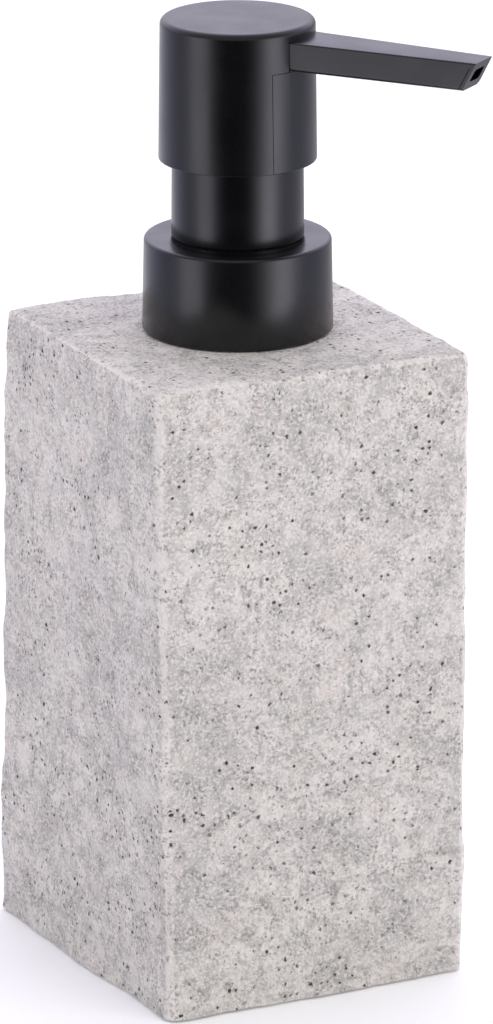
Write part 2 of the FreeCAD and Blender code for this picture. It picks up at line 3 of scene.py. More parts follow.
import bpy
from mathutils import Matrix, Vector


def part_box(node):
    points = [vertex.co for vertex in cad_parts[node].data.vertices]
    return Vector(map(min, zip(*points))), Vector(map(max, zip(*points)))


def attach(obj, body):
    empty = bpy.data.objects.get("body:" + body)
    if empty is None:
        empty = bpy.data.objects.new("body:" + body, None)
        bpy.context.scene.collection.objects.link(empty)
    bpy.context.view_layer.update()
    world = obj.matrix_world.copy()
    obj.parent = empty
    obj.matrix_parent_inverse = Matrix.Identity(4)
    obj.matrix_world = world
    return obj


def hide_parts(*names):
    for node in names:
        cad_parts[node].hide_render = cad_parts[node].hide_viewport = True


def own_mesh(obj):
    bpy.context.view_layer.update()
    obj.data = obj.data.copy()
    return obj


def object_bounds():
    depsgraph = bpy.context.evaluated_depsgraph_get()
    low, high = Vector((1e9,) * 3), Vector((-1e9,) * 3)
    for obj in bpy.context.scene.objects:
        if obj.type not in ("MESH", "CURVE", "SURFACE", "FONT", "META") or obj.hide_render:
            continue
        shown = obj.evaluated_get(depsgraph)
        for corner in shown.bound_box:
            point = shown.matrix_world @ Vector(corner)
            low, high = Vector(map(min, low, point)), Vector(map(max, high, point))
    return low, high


bl_info = {
    "name": "Soap pump dispenser",
    "version": (1, 0, 0),
    "blender": (4, 5, 0),
    "location": "3D View > Sidebar > Dispenser",
    "description": "Models a stone-effect soap bottle, its black lotion pump and their finishes",
    "category": "Object",
}

import math

import bmesh
import bpy
from bpy.props import FloatProperty, FloatVectorProperty, IntProperty, PointerProperty
from mathutils import Vector

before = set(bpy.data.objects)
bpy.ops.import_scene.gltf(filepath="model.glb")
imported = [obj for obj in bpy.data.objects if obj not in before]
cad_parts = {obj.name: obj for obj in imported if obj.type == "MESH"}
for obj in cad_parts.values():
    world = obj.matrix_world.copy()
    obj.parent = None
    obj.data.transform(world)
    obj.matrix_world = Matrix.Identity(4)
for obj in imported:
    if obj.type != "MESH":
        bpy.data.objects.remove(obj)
cad_low, cad_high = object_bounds()

MM = 0.001
SIDE = Vector((1, 0, 0))
BACK = Vector((0, 1, 0))
UP = Vector((0, 0, 1))
SEAM_MERGE = 1e-6  # points closer than this are one point
SPARE = 5 * MM  # how far a cutter reaches past what it cuts
SMOOTH_ANGLE = math.radians(32)


# ---- sizes and colours
def length(name, description, size):
    """A length, given in millimetres and kept in metres."""
    return FloatProperty(name=name, description=description, default=size * MM, min=0.0, unit="LENGTH")


def corner_setting(name, x, y):
    """A corner in plan, given in millimetres from the bottle's own middle and kept in metres."""
    description = f"Where the casting has this corner: {name.lower()}"
    return FloatVectorProperty(
        name=name, description=description, size=2, default=(x * MM, y * MM), unit="LENGTH"
    )


def angle_setting(name, description, degrees):
    """An angle, given in degrees and kept in radians."""
    return FloatProperty(name=name, description=description, default=math.radians(degrees), subtype="ANGLE")


def colour(name, description, default):
    """A surface colour, in linear light."""
    return FloatVectorProperty(
        name=name, description=description, size=3, default=default, subtype="COLOR", min=0.0, max=1.0
    )


class BottleSettings(bpy.types.PropertyGroup):
    """Sizes and colours of the cast bottle and its foot."""

    foot_front_left: corner_setting("Foot front left", -31.3, -36.4)
    foot_front_right: corner_setting("Foot front right", 31.9, -36.2)
    foot_back_right: corner_setting("Foot back right", 32.9, 34.6)
    foot_back_left: corner_setting("Foot back left", -34.5, 35.1)
    top_front_left: corner_setting("Top front left", -32.2, -32.9)
    top_front_right: corner_setting("Top front right", 33.4, -33.9)
    top_back_right: corner_setting("Top back right", 32.9, 32.6)
    top_back_left: corner_setting("Top back left", -33.2, 33.1)
    front_edge: length("Front edge radius", "Roundness of the two upright front edges", 2.4)
    back_edge: length("Back edge radius", "Roundness of the two upright back edges", 1.5)
    top_edge: length("Top edge radius", "Roundness of the edges round the top", 2.0)
    grid: length("Surface grid", "Size of the faces that carry the uneven surface", 0.95)
    swell: length("Swell depth", "Height between hollows and swells of the split-stone face", 1.9)
    swell_size: length("Swell size", "Width of a swell", 15.0)
    ripple: length("Ripple depth", "Height of the finer unevenness", 0.45)
    ripple_size: length("Ripple size", "Width of a ripple", 4.5)
    flat_radius: length("Flat radius", "Radius of the flat land round the neck", 19.0)
    light: colour("Stone light", "Colour of the pale ground", (0.73, 0.695, 0.635))
    cloud_and_shade: colour("Stone cloud", "Colour of the soft grey clouds", (0.38, 0.37, 0.345))
    # The cloud colour is also laid as painted shade in the hollows of the folds.
    green: colour("Stone green", "Colour of the greenish grey patches", (0.37, 0.375, 0.33))
    warm: colour("Stone warm", "Colour of the pink patches", (0.70, 0.60, 0.54))
    # The worn edge colour is also a painted highlight: it pales the rounded edges where light catches them.
    worn_and_highlight: colour("Stone worn", "Colour of the worn edges", (0.85, 0.80, 0.735))
    grain: colour("Stone grain", "Colour of the fine mineral grain", (0.19, 0.188, 0.17))
    speck: colour("Stone speck", "Colour of the dark specks", (0.03, 0.027, 0.027))
    pad_edge: length("Pad edge radius", "Roundness of the foam pad's rim", 0.35)
    foam: colour("Foam", "Colour of the foam pad", (0.03, 0.03, 0.032))


class PumpSettings(bpy.types.PropertyGroup):
    """Sizes and colours of the pump's visible mouldings."""

    segments: IntProperty(name="Segments", description="Faces round a turned part", default=160, min=48)
    cover_wall: length("Collar wall", "Wall of the collar at its top", 1.03)
    cover_draft: length("Collar draft", "How much wider the collar is at its foot", 0.35)
    cover_roof: length("Collar roof", "Thickness of the collar's roof", 1.35)
    cover_edge: length("Collar edge radius", "Roundness of the collar's top edge", 0.65)
    sleeve_flange: length("Sleeve flange", "How far the sleeve's flange stands out", 2.0)
    sleeve_flange_height: length("Sleeve flange height", "Thickness of the sleeve's flange", 1.3)
    sleeve_foot: length("Sleeve foot", "How far the sleeve curves in at the collar", 0.45)
    sleeve_wall: length("Sleeve wall", "Wall of the sleeve at its top", 1.22)
    sleeve_draft: length("Sleeve draft", "How much wider the sleeve is at its foot", 0.15)
    head_wall: length("Head wall", "Wall of the head at its top", 1.54)
    head_draft: length("Head draft", "How much wider the head is at its foot", 0.32)
    head_roof: length("Head roof", "Thickness of the head's roof", 1.8)
    head_edge: length("Head edge radius", "Roundness of the head's top edge", 1.2)
    break_edge: length("Broken edge", "Roundness of every small edge", 0.22)
    black: colour("Black plastic", "Colour of the satin black mouldings", (0.0026, 0.0026, 0.0031))
    natural: colour("Natural plastic", "Colour of the milky inner mouldings", (0.78, 0.77, 0.73))
    seal: colour("Seal", "Colour of the soft seals", (0.70, 0.70, 0.66))
    tube: colour("Tube", "Colour of the translucent dip tube", (0.72, 0.73, 0.72))
    steel: colour("Spring steel", "Colour of the spring wire", (0.62, 0.62, 0.64))
    glass: colour("Ball glass", "Colour of the valve balls", (0.75, 0.82, 0.80))


class SpoutSettings(bpy.types.PropertyGroup):
    """Sizes of the spout, its panel in the skirt and its nozzle."""

    azimuth: angle_setting("Azimuth", "Where the spout points", -54)
    reach: length("Reach", "From the pump's axis to the tip", 51.4)
    root: length("Root", "From the pump's axis to the arm's inner end", 7.0)
    pocket: length("Pocket", "From the pump's axis to the nozzle tube's inner end", 2.55)
    top_drop: length("Top drop", "How far the arm's top lies below the head's top", 2.25)
    height: length("Height", "Height of the arm", 5.6)
    root_width: length("Root width", "Width where the arm leaves the head", 10.4)
    tip_width: length("Tip width", "Width at the tip", 6.9)
    rake: length("Rake", "How far the tip's lower edge lies behind its upper one", 2.9)
    wall: length("Arm wall", "Wall of the arm", 1.0)
    lower_edge: length("Lower edge radius", "Roundness of the arm's two lower edges", 1.0)
    upper_edge: length("Upper edge radius", "Roundness of the arm's two upper edges", 0.3)
    panel_width: length("Panel width", "Width of the panel below the arm", 17.4)
    seam: length("Seam", "Gap round the panel", 0.11)
    window_gap: length("Window gap", "Gap between the arm and the skirt", 0.1)
    tube_gap: length("Tube gap", "Gap between the arm and the nozzle tube", 0.1)
    tube_wall: length("Tube wall", "Wall of the nozzle tube", 0.45)
    rim_seam: length("Rim seam", "Gap between the end of the arm's wall and the rim", 0.14)
    rim: length("Rim", "Depth of the nozzle's rim, which closes the end of the arm", 0.6)
    mouth_edge: length("Mouth edge radius", "Roundness of the mouth's corners", 0.6)


class SpringSettings(bpy.types.PropertyGroup):
    """Sizes of the return spring."""

    mean: length("Mean radius", "Radius to the middle of the wire", 5.0)
    wire: length("Wire radius", "Radius of the wire", 0.5)
    active_turns: IntProperty(name="Active turns", description="Open turns", default=7, min=1)
    turn_points: IntProperty(name="Points a turn", description="Points in each turn", default=20, min=8)
    pressed: FloatProperty(name="Pressed", description="Pressed length, as a share", default=0.49)


class StageSettings(bpy.types.PropertyGroup):
    """The floor, the light and the camera."""

    aim: FloatVectorProperty(
        name="Aim", description="Where it looks", default=(0.08 * MM, -3.61 * MM, 87.5 * MM), unit="LENGTH"
    )
    distance: length("Camera distance", "From the camera to the aim", 1420)
    azimuth: angle_setting("Camera azimuth", "Where the camera stands", -26.13)
    elevation: angle_setting("Camera elevation", "How high the camera stands", 17.55)
    lens: FloatProperty(name="Lens", description="Focal length in millimetres", default=261.84)
    floor: colour("Floor", "Colour of the pale floor", (0.95, 0.95, 0.95))
    floor_size: length("Floor size", "Side of the square floor", 30000)


# ---- modelling by hand
def activate(piece):
    """Leaves one piece selected and active, and nothing else."""
    bpy.ops.object.select_all(action="DESELECT")
    piece.select_set(True)
    bpy.context.view_layer.objects.active = piece


def settle(piece, name):
    """Names a piece and puts its place, turn and size into its mesh."""
    activate(piece)
    bpy.ops.object.transform_apply(location=True, rotation=True, scale=True)
    piece.name = name
    piece.data.name = name
    return piece


def open_mesh(piece):
    """Opens a piece in edit mode with all of it selected."""
    activate(piece)
    bpy.ops.object.mode_set(mode="EDIT")
    bpy.ops.mesh.select_all(action="SELECT")


def close_mesh():
    """Goes back to object mode."""
    bpy.ops.object.mode_set(mode="OBJECT")


def pick(kind, test):
    """Selects the vertices, edges or faces of the open piece that pass a test. There has to be one."""
    bpy.ops.mesh.select_mode(type=kind)
    bpy.ops.mesh.select_all(action="DESELECT")
    mesh = bmesh.from_edit_mesh(bpy.context.object.data)
    items = {"VERT": mesh.verts, "EDGE": mesh.edges, "FACE": mesh.faces}[kind]
    found = [item for item in items if test(item)]
    if not found:
        raise RuntimeError(f"nothing to pick on {bpy.context.object.name}")
    for item in found:
        item.select_set(True)
    mesh.select_flush_mode()
    bmesh.update_edit_mesh(bpy.context.object.data)


def middle(item):
    """The middle of an edge or a face."""
    points = [corner.co for corner in item.verts]
    return sum(points, Vector()) / len(points)


def direction(edge):
    """The direction of an edge."""
    return (edge.verts[1].co - edge.verts[0].co).normalized()


def shape_with(piece, kind, **settings):
    """Adds a modifier to a piece, sets it and applies it."""
    activate(piece)
    bpy.ops.object.modifier_add(type=kind)
    modifier = piece.modifiers[-1]
    for key, value in settings.items():
        setattr(modifier, key, value)
    bpy.ops.object.modifier_apply(modifier=modifier.name)
    return piece


def combine(piece, operation, *others):
    """Cuts the others out of a piece, joins them, or keeps what they share. The others are used up."""
    for other in others:
        shape_with(piece, "BOOLEAN", object=other, operation=operation, solver="EXACT")
        bpy.data.objects.remove(other)
        if not piece.data.polygons:
            raise RuntimeError(f"nothing is left of {piece.name}")
    return piece


def block(name, low_corner, high_corner):
    """A box between two corners, as a start."""
    low_corner, high_corner = Vector(low_corner), Vector(high_corner)
    centre = (low_corner + high_corner) / 2
    bpy.ops.mesh.primitive_cube_add(size=1, location=centre, scale=high_corner - low_corner)
    return settle(bpy.context.object, name)


def bevel_picked(radius, segments):
    """Rounds the picked edges of the open piece."""
    bpy.ops.mesh.bevel(
        offset=radius, offset_type="OFFSET", segments=segments, affect="EDGES", clamp_overlap=True
    )


def is_upright(edge):
    """Whether an edge runs mostly up."""
    return abs(direction(edge).z) > 0.9


def is_lengthwise(edge):
    """Whether an edge runs mostly along X."""
    return abs(direction(edge).x) > 0.9


def rounded_block(name, low_corner, high_corner, radius, segments=10):
    """A box with rounded upright edges."""
    piece = block(name, low_corner, high_corner)
    open_mesh(piece)
    pick("EDGE", is_upright)
    bevel_picked(radius, segments)
    close_mesh()
    return piece


def slice_off(piece, point, normal):
    """Cuts off what lies beyond a plane, and closes the cut."""
    open_mesh(piece)
    bpy.ops.mesh.bisect(
        plane_co=point, plane_no=normal, use_fill=True, clear_outer=True, threshold=SEAM_MERGE
    )
    close_mesh()
    return piece


def arc(middle_r, middle_z, radius, start, end, steps=6):
    """Points of an arc in a turned outline, between two angles in degrees from the outward direction."""
    points = []
    for i in range(steps + 1):
        angle = math.radians(start + (end - start) * i / steps)
        points.append((middle_r + radius * math.cos(angle), middle_z + radius * math.sin(angle)))
    return points


def turned(name, outline, segments, closed):
    """A part turned about the pump's axis: a ring is extruded and resized from one outline point to the next.

    A closed outline comes back to its first point. An open one starts and ends in a flat disc.
    """
    radius, height = outline[0]
    bpy.ops.mesh.primitive_circle_add(vertices=segments, radius=radius, location=(0, 0, height))
    piece = settle(bpy.context.object, name)
    open_mesh(piece)
    if not closed:
        bpy.ops.mesh.edge_face_add()
        pick("EDGE", lambda edge: True)
    for next_radius, next_height in outline[1:] + (outline[:1] if closed else []):
        bpy.ops.mesh.extrude_edges_move(TRANSFORM_OT_translate={"value": (0, 0, next_height - height)})
        share = next_radius / radius
        bpy.ops.transform.resize(value=(share, share, 1), center_override=(0, 0, next_height))
        radius, height = next_radius, next_height
    if not closed:
        bpy.ops.mesh.edge_face_add()
    bpy.ops.mesh.select_all(action="SELECT")
    bpy.ops.mesh.remove_doubles(threshold=SEAM_MERGE)
    bpy.ops.mesh.normals_make_consistent(inside=False)
    close_mesh()
    return piece


def turn_to(piece, azimuth):
    """Turns a piece about the pump's axis."""
    piece.rotation_euler.z = azimuth
    return settle(piece, piece.name)


def finish_piece(piece, body, slot, *nodes):
    """Gives a finished piece its slot's material, its smooth shading and its place among the bodies."""
    activate(piece)
    bpy.ops.object.shade_smooth_by_angle(angle=SMOOTH_ANGLE)
    piece.data.materials.clear()
    piece.data.materials.append(bpy.data.materials[slot])
    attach(piece, body)
    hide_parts(*nodes)
    return piece


# ---- materials
class Nodes:
    """A node tree, filled with one node after another."""

    def __init__(self, tree):
        self.tree = tree
        tree.nodes.clear()

    def add(self, kind, inputs=None, **settings):
        """A node with its settings, its inputs given as values or as the sockets that feed them."""
        made = self.tree.nodes.new("ShaderNode" + kind)
        for key, value in settings.items():
            setattr(made, key, value)
        for key, value in (inputs or {}).items():
            if isinstance(value, bpy.types.NodeSocket):
                self.tree.links.new(value, made.inputs[key])
            else:
                made.inputs[key].default_value = value
        return made

    def steps(self, value, low, high, to_low=0.0, to_high=1.0, kind="SMOOTHSTEP"):
        """A value led from one level to another, by a smooth step or in another way."""
        inputs = {"Value": value, "From Min": low, "From Max": high, "To Min": to_low, "To Max": to_high}
        return self.add("MapRange", inputs, interpolation_type=kind).outputs[0]

    def math(self, operation, first, second=0.0):
        """One sum on two numbers."""
        return self.add("Math", {0: first, 1: second}, operation=operation).outputs[0]

    def vector(self, operation, first, second):
        """One sum on two vectors."""
        return self.add("VectorMath", {0: first, 1: second}, operation=operation).outputs

    def mix(self, share, first, second, blend="MIX"):
        """One colour laid over another by a share."""
        inputs = {0: share, 6: self.paint(first), 7: self.paint(second)}
        return self.add("Mix", inputs, data_type="RGBA", blend_type=blend).outputs[2]

    @staticmethod
    def paint(value):
        """A colour with its alpha, or a socket as it is."""
        return value if isinstance(value, bpy.types.NodeSocket) else (*value, 1.0)


class Surface(Nodes):
    """A material's nodes, which end in one shader."""

    def __init__(self, name):
        self.material = bpy.data.materials.get(name) or bpy.data.materials.new(name)
        self.material.use_nodes = True
        super().__init__(self.material.node_tree)
        self.place = self.add("TexCoord").outputs["Object"]
        self.facing = self.tree.nodes[-1].outputs["Normal"]
        self.shader = self.add("BsdfPrincipled")
        self.add("OutputMaterial", {"Surface": self.shader.outputs[0]})

    def noise(self, size, detail=3.0, roughness=0.5, place=None):
        """Cloudy noise whose features are about this size."""
        inputs = {"Vector": place or self.place, "Scale": 1 / size, "Detail": detail, "Roughness": roughness}
        return self.add("TexNoise", inputs).outputs["Fac"]

    def patches(self, size, detail, roughness, low, high, place=None):
        """Where noise of this size rises from one level to another."""
        return self.steps(self.noise(size, detail, roughness, place), low, high)

    def warp(self, size, amount):
        """The object's own place pushed about by noise, so that nothing laid on it looks regular."""
        inputs = {"Vector": self.place, "Scale": 1 / size, "Detail": 2.0}
        drift = self.add("TexNoise", inputs).outputs["Color"]
        centred = self.vector("SUBTRACT", drift, (0.5, 0.5, 0.5))[0]
        shift = self.add("VectorMath", {0: centred, "Scale": amount}, operation="SCALE").outputs[0]
        return self.vector("ADD", self.place, shift)[0]

    def dots(self, spacing, radius, softness=0.25, share=1.0, place=None):
        """Dots of many sizes up to a radius, in a share of the cells, and a random number for each."""
        cells = self.add("TexVoronoi", {"Vector": place or self.place, "Scale": 1 / spacing})
        chance = self.add("SeparateColor", {0: cells.outputs["Color"]}).outputs
        reach = radius / spacing
        soft = reach * softness
        size = self.steps(chance[0], 1.0 - share, 1.0, -soft, reach)
        inside = self.steps(self.math("SUBTRACT", cells.outputs["Distance"], size), soft, -soft)
        return inside, chance[1]

    def bump(self, height, distance, strength=1.0, normal=None):
        """A relief of this height in metres, laid over another one."""
        inputs = {"Height": height, "Distance": distance, "Strength": strength}
        if normal:
            inputs["Normal"] = normal
        return self.add("Bump", inputs).outputs[0]

    def feed(self, **inputs):
        """Sets the shader's own inputs. An underscore in a name stands for a space."""
        for key, value in inputs.items():
            socket = self.shader.inputs[key.replace("_", " ")]
            if isinstance(value, bpy.types.NodeSocket):
                self.tree.links.new(value, socket)
            else:
                socket.default_value = value
        return self.material


def stone_resin(settings):
    """Cast resin with mineral filler: pale ground, grey and pink patches, fine grain and dark specks, paled
    edges that are partly wear and partly painted highlight, and painted shade in the folds towards the foot.
    """
    surface = Surface("stone_resin")
    place = surface.warp(11 * MM, 8 * MM)
    broken = surface.warp(0.5 * MM, 0.9 * MM)

    def lay(tone, cover, share, over):
        return surface.mix(surface.math("MULTIPLY", cover, share), tone, over)

    tone = settings.light
    for cover, share, over in (
        (surface.patches(19 * MM, 5.0, 0.62, 0.46, 0.64, place), 0.50, settings.cloud_and_shade),
        (surface.patches(6 * MM, 5.0, 0.68, 0.48, 0.66, place), 0.42, settings.green),
        (surface.patches(7 * MM, 4.0, 0.60, 0.50, 0.66), 0.34, settings.warm),
        (surface.patches(2.4 * MM, 4.0, 0.70, 0.48, 0.62, place), 0.50, settings.cloud_and_shade),
        (surface.patches(3.2 * MM, 5.0, 0.72, 0.53, 0.66), 0.42, settings.grain),
    ):
        tone = lay(tone, cover, share, over)

    # Painted highlight and wear: the rounded edges are paled in the colour, by how far the surface turns from
    # the faces.
    axes = surface.add("VectorMath", {0: surface.facing}, operation="ABSOLUTE").outputs[0]
    parts = surface.add("SeparateXYZ", {0: axes}).outputs
    steepest = surface.math("MAXIMUM", surface.math("MAXIMUM", parts[0], parts[1]), parts[2])
    inputs = {0: surface.noise(2.2 * MM, 4.0, 0.7), 1: 0.30, 2: -0.15}
    uneven = surface.add("Math", inputs, operation="MULTIPLY_ADD").outputs[0]
    worn_and_highlight = surface.steps(surface.math("ADD", steepest, uneven), 0.99, 0.84)
    tone = lay(tone, worn_and_highlight, 0.80, settings.worn_and_highlight)

    height = surface.add("SeparateXYZ", {0: surface.place}).outputs[2]
    split = surface.steps(height, 95 * MM, 35 * MM, 0.35, 1.0)
    lying = surface.vector("MULTIPLY", place, (1.0, 1.0, 1.9))[0]
    folds = surface.math("MULTIPLY", surface.noise(9 * MM, 5.0, 0.6, lying), split)
    # Painted shade: the hollows of the folds are darkened in the colour, more towards the foot.
    shade = surface.steps(folds, 0.52, 0.36)
    tone = lay(tone, shade, surface.math("MULTIPLY", split, 0.30), settings.cloud_and_shade)

    cluster = surface.steps(surface.noise(3.6 * MM, 4.0, 0.65, place), 0.42, 0.60, 0.20, 1.0)
    tone = lay(tone, surface.patches(0.60 * MM, 2.0, 0.6, 0.49, 0.60), 0.55, settings.worn_and_highlight)
    dusk = surface.patches(0.64 * MM, 3.0, 0.65, 0.48, 0.66, broken)
    tone = lay(tone, surface.math("MULTIPLY", dusk, cluster), 0.75, settings.grain)
    fine, depth = surface.dots(0.90 * MM, 0.25 * MM, 0.6, 0.7, broken)
    fine = surface.math("MULTIPLY", fine, surface.math("MULTIPLY", cluster, depth))
    tone = lay(tone, fine, 0.95, settings.speck)
    coarse, depth = surface.dots(1.30 * MM, 0.38 * MM, 0.35, 0.8, broken)
    coarse = surface.math("MULTIPLY", coarse, surface.steps(depth, 0.0, 0.8, 0.25, 1.0))
    tone = lay(tone, coarse, 0.96, settings.speck)

    pits = surface.math("MULTIPLY", coarse, 0.4)
    pores = surface.math("SUBTRACT", surface.noise(0.9 * MM, 4.0, 0.7), pits)
    relief = surface.bump(pores, 0.14 * MM, 0.9)
    relief = surface.bump(folds, 3.4 * MM, 0.8, relief)
    rough = surface.steps(surface.noise(2.5 * MM, 3.0), 0.3, 0.7, 0.66, 0.86)
    return surface.feed(Base_Color=tone, Roughness=rough, Specular_IOR_Level=0.3, Normal=relief)


def satin_plastic(name, tint, roughness, variation):
    """Moulded plastic: a very fine spark-eroded grain, faint flow lines and a roughness that drifts."""
    surface = Surface(name)
    drift = surface.noise(9 * MM, 3.0)
    paler = [min(1.0, 1.35 * c) for c in tint]
    tone = surface.mix(surface.math("MULTIPLY", drift, variation), tint, paler)
    rough = surface.steps(drift, 0.3, 0.7, roughness - 0.03, roughness + 0.03)
    grain = surface.noise(0.16 * MM, 2.0, 0.6)
    relief = surface.bump(grain, 0.004 * MM, 0.5)
    relief = surface.bump(surface.noise(6 * MM, 2.0), 0.02 * MM, 0.4, relief)
    surface.feed(Base_Color=tone, Roughness=rough, Normal=relief, Specular_IOR_Level=0.5)
    return surface


def pump_materials(pump):
    """The pump's finishes, by the name of their slot."""
    satin_plastic("black_plastic", pump.black, 0.27, 0.5)
    natural = satin_plastic("natural_plastic", pump.natural, 0.42, 0.6)
    natural.feed(Subsurface_Weight=0.25, Subsurface_Scale=1.5 * MM)
    seal = satin_plastic("soft_seal", pump.seal, 0.62, 0.7)
    seal.feed(Specular_IOR_Level=0.35, Subsurface_Weight=0.15, Subsurface_Scale=1.0 * MM)
    satin_plastic("clear_tube", pump.tube, 0.22, 0.4).feed(Transmission_Weight=0.65, IOR=1.5)
    satin_plastic("spring_steel", pump.steel, 0.24, 0.4).feed(Metallic=1.0)
    satin_plastic("ball_glass", pump.glass, 0.06, 0.3).feed(Transmission_Weight=0.9, IOR=1.52)


def foam(settings):
    """Closed-cell foam: a matte skin full of small cells, which are darkened in the colour as painted shade.
    """
    surface = Surface("foam_pad")
    cells, shade = surface.dots(0.55 * MM, 0.26 * MM, 0.4)
    pore_shade = [0.4 * c for c in settings.foam]
    paler = [2.0 * c for c in settings.foam]
    # Painted shade: the cells, which the bump sinks below the skin, are darkened in the colour.
    tone = surface.mix(surface.math("MULTIPLY", cells, 0.5), settings.foam, pore_shade)
    tone = surface.mix(surface.math("MULTIPLY", shade, 0.2), tone, paler)
    relief = surface.bump(surface.math("MULTIPLY", cells, -1.0), 0.10 * MM, 0.8)
    return surface.feed(Base_Color=tone, Roughness=0.92, Specular_IOR_Level=0.25, Normal=relief)


class DISPENSER_OT_finishes(bpy.types.Operator):
    """Makes every finish and lays it on the pieces that keep their own shape"""

    bl_idname = "dispenser.finishes"
    bl_label = "Finishes"

    def execute(self, context):
        stone_resin(context.scene.dispenser_bottle)
        foam(context.scene.dispenser_bottle)
        pump_materials(context.scene.dispenser_pump)
        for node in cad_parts.values():
            for place in node.material_slots:
                place.material = bpy.data.materials[place.material.name.split(".")[0]]
        return {"FINISHED"}


# ---- bottle
class DISPENSER_OT_bottle(bpy.types.Operator):
    """Models the cast bottle: an uneven stone-like block, hollow, open at the neck and at the foot"""

    bl_idname = "dispenser.bottle"
    bl_label = "Bottle"

    def execute(self, context):
        settings = context.scene.dispenser_bottle
        low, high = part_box("bottle_body")
        plate_low, plate_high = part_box("base_plate")
        centre = (plate_low + plate_high) / 2
        body = block("stone_bottle", (low.x, low.y, low.z - SPARE), high)
        self.shape_corners(body, settings, centre)
        self.round_edges(body, settings, centre, high.z)
        shape_with(body, "REMESH", mode="VOXEL", voxel_size=settings.grid)
        self.roughen(body, settings, high.z)
        slice_off(body, (0, 0, low.z), -UP)
        slice_off(body, cad_low, -SIDE)
        slice_off(body, cad_high, SIDE)
        slice_off(body, cad_high, BACK)
        self.hollow(body, centre, high.z)
        finish_piece(body, "bottle", "stone_resin", "bottle_body")
        return {"FINISHED"}

    @staticmethod
    def shape_corners(body, settings, centre):
        """Moves each corner of the block to where the casting has it."""
        low_z = min(corner.co.z for corner in body.data.vertices)
        open_mesh(body)
        for level in ("foot", "top"):
            for side in ("front_left", "front_right", "back_right", "back_left"):
                aim = Vector((*getattr(settings, f"{level}_{side}"), 0))
                across = 1 if aim.x > 0 else -1
                along = 1 if aim.y > 0 else -1

                def is_corner(corner):
                    out = corner.co - centre
                    at_foot = corner.co.z < low_z + SPARE
                    return at_foot == (level == "foot") and out.x * across > 0 and out.y * along > 0

                pick("VERT", is_corner)
                mesh = bmesh.from_edit_mesh(body.data)
                now = next(corner.co.copy() for corner in mesh.verts if corner.select)
                move = (centre.x + aim.x - now.x, centre.y + aim.y - now.y, 0)
                bpy.ops.transform.translate(value=move)
        close_mesh()

    @staticmethod
    def round_edges(body, settings, centre, top):
        """Rounds the upright edges, the back ones more, and then the edges round the top."""
        open_mesh(body)
        pick("EDGE", lambda edge: is_upright(edge) and middle(edge).y < centre.y)
        bevel_picked(settings.front_edge, 6)
        pick("EDGE", lambda edge: is_upright(edge) and middle(edge).y > centre.y + settings.back_edge)
        bevel_picked(settings.back_edge, 8)
        pick("EDGE", lambda edge: all(abs(corner.co.z - top) < SEAM_MERGE for corner in edge.verts))
        bevel_picked(settings.top_edge, 5)
        close_mesh()

    @staticmethod
    def roughen(body, settings, top):
        """Gives the faces their swells and ripples. The land round the neck stays flat."""
        steepness = 3  # the unevenness comes in over a third of the flat radius
        still = 0.56  # the grey of the clouds that leaves the surface where it is
        uneven = body.vertex_groups.new(name="uneven")
        for corner in body.data.vertices:
            out = math.hypot(corner.co.x, corner.co.y) / settings.flat_radius - 1
            on_top = corner.co.z > top - settings.top_edge
            share = min(1.0, max(0.0, out * steepness)) if on_top else 1.0
            uneven.add([corner.index], share * share * (3 - 2 * share), "REPLACE")
        for name, size, depth in (
            ("swell", settings.swell_size, settings.swell),
            ("ripple", settings.ripple_size, settings.ripple),
        ):
            clouds = bpy.data.textures.new(name, "CLOUDS")
            clouds.noise_scale = size
            clouds.noise_depth = 2
            shape_with(
                body, "DISPLACE", texture=clouds, texture_coords="LOCAL", strength=depth, mid_level=still,
                vertex_group="uneven",
            )
        body.vertex_groups.remove(body.vertex_groups["uneven"])

    @staticmethod
    def hollow(body, centre, top):
        """Cuts the cavity, the plate's seat, and the neck's hole with its flange seat and lug slots."""
        plate_low, plate_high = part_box("base_plate")
        neck_low, neck_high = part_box("neck_insert")
        glue = 0.15 * MM
        cavity_half, cavity_corner = 26 * MM, 8 * MM
        seat_corner = 11 * MM
        roof_drop = 1.0 * MM  # from the cavity's roof to the insert's lower end
        flange_reach, flange_depth = 3.1 * MM, 1.5 * MM
        lug_inner, lug_outer, lug_half = 11.7 * MM, 14.35 * MM, 1.65 * MM
        lug_depth, lug_cover = 4.15 * MM, 0.75 * MM
        foot = plate_low.z - SPARE
        cavity_top = neck_low.z + roof_drop
        cavity = rounded_block(
            "cavity", (centre.x - cavity_half, centre.y - cavity_half, foot),
            (centre.x + cavity_half, centre.y + cavity_half, cavity_top), cavity_corner,
        )
        seat = rounded_block(
            "plate_seat", (plate_low.x - glue, plate_low.y - glue, foot),
            (plate_high.x + glue, plate_high.y + glue, plate_high.z), seat_corner,
        )
        flange = neck_high.x + glue
        bore = neck_high.x - flange_reach + glue
        flange_low = top - flange_depth
        outline = [(bore, cavity_top - SPARE), (bore, flange_low)]
        outline += [(flange, flange_low), (flange, top + SPARE)]
        hole = turned("neck_hole", outline, 128, closed=False)
        lug_low, lug_high = flange_low - lug_depth, top - lug_cover
        combine(body, "DIFFERENCE", cavity, seat, hole)
        for quarter in range(4):
            slot = block("lug_slot", (lug_inner, -lug_half, lug_low), (lug_outer, lug_half, lug_high))
            turn_to(slot, math.radians(45 + 90 * quarter))
            combine(body, "DIFFERENCE", slot)


